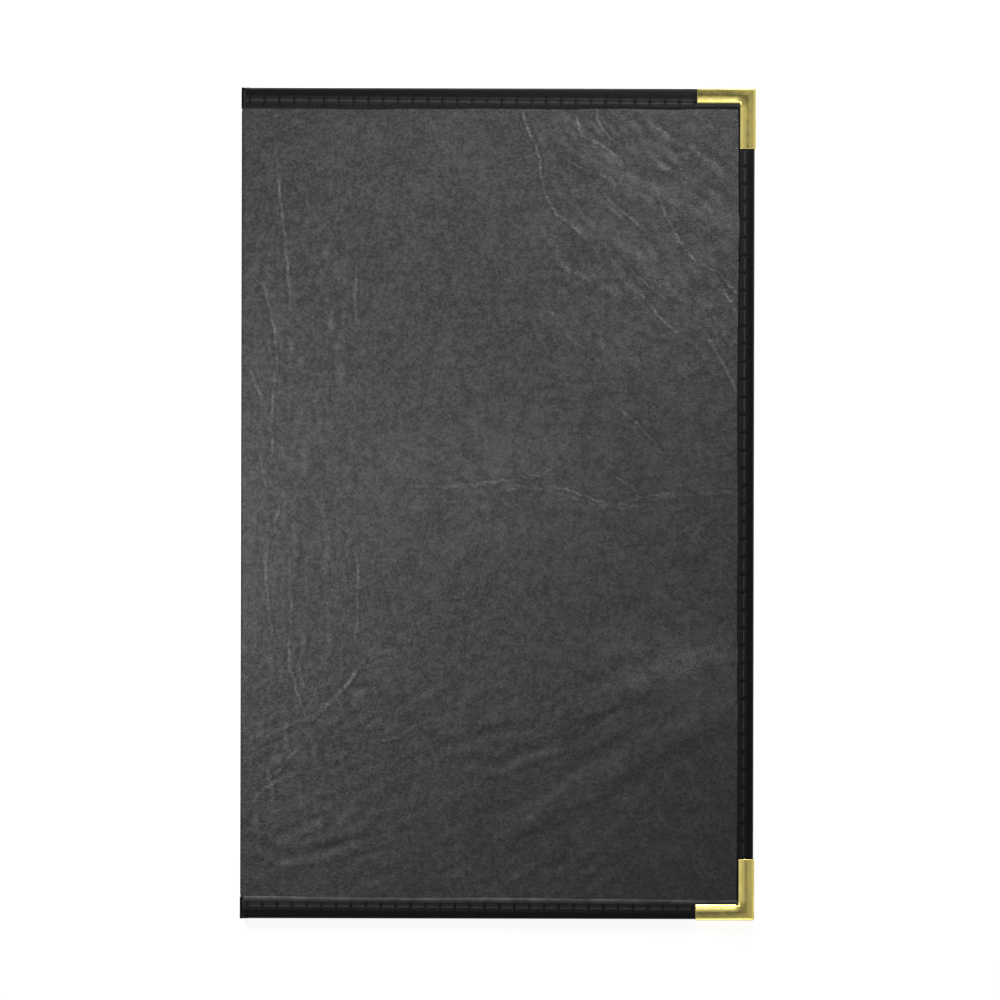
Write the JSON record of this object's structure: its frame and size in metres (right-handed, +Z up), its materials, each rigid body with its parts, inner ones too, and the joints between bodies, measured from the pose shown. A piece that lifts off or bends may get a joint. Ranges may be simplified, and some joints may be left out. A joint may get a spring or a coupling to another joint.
{
  "type": "menu cover",
  "caption": "Book-style menu cover for a tall single sheet each side: stiff leather-look covers with sewn edge tape, brass corners, clear inner pockets and a folding spine.",
  "frame": {"origin": "centre of the closed cover's footprint, on the surface that its back cover lies on", "axes": "+X from the spine to the fore-edge, +Y from the tail to the head, +Z up through the closed thickness, out of the front cover"},
  "size_m": [0.229, 0.3708, 0.0102],
  "materials": {
    "cover_skin": "dark grey leather-look sheet, soft creases, satin",
    "edge_tape": "black leather-look edge tape, satin",
    "thread": "black waxed thread",
    "board": "greyboard",
    "lining": "black lining cloth",
    "clear_pocket": "clear soft sheet",
    "brass_corner": "polished, lightly worn"
  },
  "bodies": {
    "back_cover": {"back_skin": "cover_skin", "back_board": "board", "back_lining": "lining", "back_pocket": "clear_pocket", "back_head_tape": "edge_tape", "back_fore_edge_tape": "edge_tape", "back_tail_tape": "edge_tape", "back_head_corner": "brass_corner", "back_tail_corner": "brass_corner", "back_head_stitching": "thread", "back_fore_edge_stitching": "thread", "back_tail_stitching": "thread"},
    "spine": {"spine_skin": "cover_skin", "spine_strip": "board", "spine_lining": "lining", "spine_head_tape": "edge_tape", "spine_tail_tape": "edge_tape"},
    "front_cover": {"front_skin": "cover_skin", "front_board": "board", "front_lining": "lining", "front_pocket": "clear_pocket", "front_head_tape": "edge_tape", "front_fore_edge_tape": "edge_tape", "front_tail_tape": "edge_tape", "front_head_corner": "brass_corner", "front_tail_corner": "brass_corner", "front_head_stitching": "thread", "front_fore_edge_stitching": "thread", "front_tail_stitching": "thread"}
  },
  "joints": [
    {"name": "back_fold", "type": "hinge", "parent": "back_cover", "child": "spine", "pos_m": [-0.11363, 0, 0.00135], "axis": [0, -1, 0], "range_deg": [0, 90]},
    {"name": "front_fold", "type": "hinge", "parent": "spine", "child": "front_cover", "pos_m": [-0.11363, 0, 0.00885], "axis": [0, -1, 0], "range_deg": [0, 90]}
  ],
  "couplings": [
    {"joint": "back_fold", "follows": "front_fold", "ratio": 1}
  ]
}
